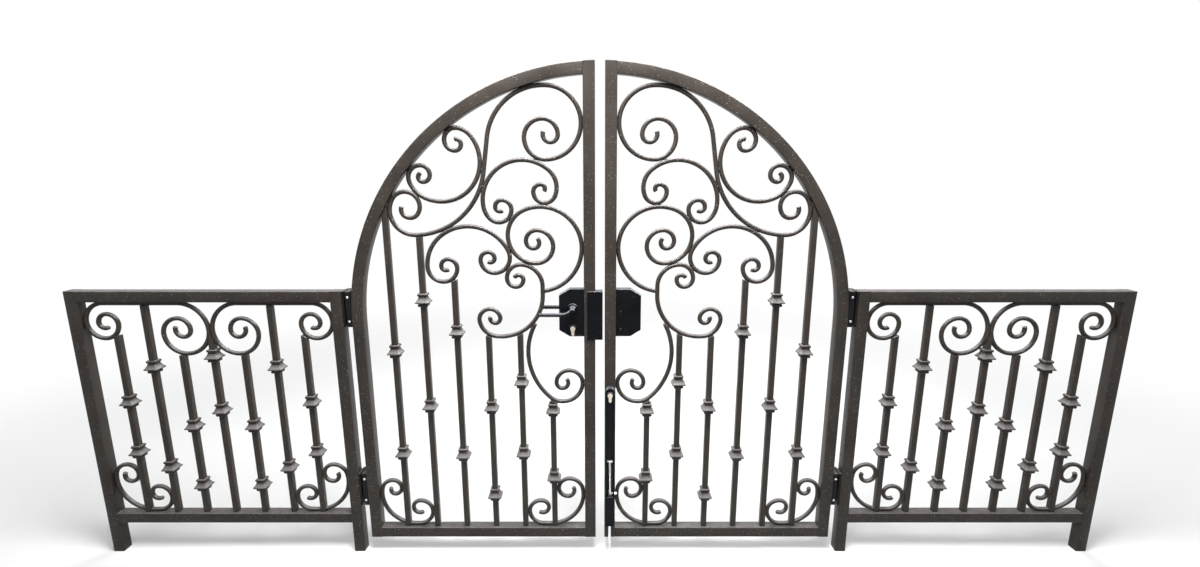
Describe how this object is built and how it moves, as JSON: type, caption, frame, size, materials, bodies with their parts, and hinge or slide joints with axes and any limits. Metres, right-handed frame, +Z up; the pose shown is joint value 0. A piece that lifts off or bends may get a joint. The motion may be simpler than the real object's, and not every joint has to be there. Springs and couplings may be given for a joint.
{
  "type": "scroll walk gate",
  "caption": "Arched double-leaf walk gate of welded aluminium with scrollwork, collared pickets, lever lock, drop bolt, barrel hinges and short fence bays",
  "frame": {"origin": "middle of the left hinge post's foot, on the paving", "axes": "X along the gate from the left post to the right one, Y from the viewer's side through the gate, Z up"},
  "size_m": [3.594, 0.125, 1.7158],
  "materials": {
    "bronze_coat": "dark bronze powder coat, fine grain, satin",
    "black_gloss": "gloss black enamel",
    "hinge_black": "satin black enamel",
    "keyed_metal": "satin nickel",
    "bright_steel": "bright zinc-plated steel"
  },
  "bodies": {
    "fence": {"left_hinge_post": "bronze_coat", "left_end_post": "bronze_coat", "left_fence_panel": "bronze_coat", "left_hinge_brackets": "hinge_black", "right_hinge_post": "bronze_coat", "right_end_post": "bronze_coat", "right_fence_panel": "bronze_coat", "right_hinge_brackets": "hinge_black"},
    "left_leaf": {"left_outer_stile": "bronze_coat", "left_arch_rail": "bronze_coat", "left_meeting_stile": "bronze_coat", "left_bottom_rail": "bronze_coat", "left_crown_scroll": "bronze_coat", "left_rib_scroll": "bronze_coat", "left_shoulder_scroll": "bronze_coat", "left_heart_scroll": "bronze_coat", "left_side_scroll": "bronze_coat", "left_waist_scroll": "bronze_coat", "left_foot_scroll": "bronze_coat", "left_corner_scrolls": "bronze_coat", "left_pickets": "bronze_coat", "left_collars": "bronze_coat", "left_hinge_leaves": "hinge_black", "lock_case": "black_gloss", "lock_cylinder": "keyed_metal", "latch_cover": "black_gloss"},
    "right_leaf": {"right_outer_stile": "bronze_coat", "right_arch_rail": "bronze_coat", "right_meeting_stile": "bronze_coat", "right_bottom_rail": "bronze_coat", "right_crown_scroll": "bronze_coat", "right_rib_scroll": "bronze_coat", "right_shoulder_scroll": "bronze_coat", "right_heart_scroll": "bronze_coat", "right_side_scroll": "bronze_coat", "right_waist_scroll": "bronze_coat", "right_foot_scroll": "bronze_coat", "right_corner_scrolls": "bronze_coat", "right_pickets": "bronze_coat", "right_collars": "bronze_coat", "right_hinge_leaves": "hinge_black", "lock_keep": "black_gloss", "bolt_housing": "black_gloss", "bolt_key": "keyed_metal"},
    "lever": {"front_lever": "black_gloss", "back_lever": "black_gloss"},
    "drop_bolt": {"bolt_rod": "bright_steel"}
  },
  "joints": [
    {"name": "left_leaf_hinge", "type": "hinge", "parent": "fence", "child": "left_leaf", "pos_m": [0.0295, 0.028, 0.5], "axis": [0, 0, 1], "range_deg": [0, 90]},
    {"name": "right_leaf_hinge", "type": "hinge", "parent": "fence", "child": "right_leaf", "pos_m": [1.7445, 0.028, 0.5], "axis": [0, 0, -1], "range_deg": [0, 90]},
    {"name": "lever_turn", "type": "hinge", "parent": "left_leaf", "child": "lever", "pos_m": [0.795, 0, 0.926], "axis": [0, -1, 0], "range_deg": [0, 38], "stiffness_Nm_per_rad": 1.2, "springref_deg": -25.21},
    {"name": "bolt_lift", "type": "slide", "parent": "right_leaf", "child": "drop_bolt", "axis": [0, 0, 1], "range_m": [0, 0.1]}
  ]
}
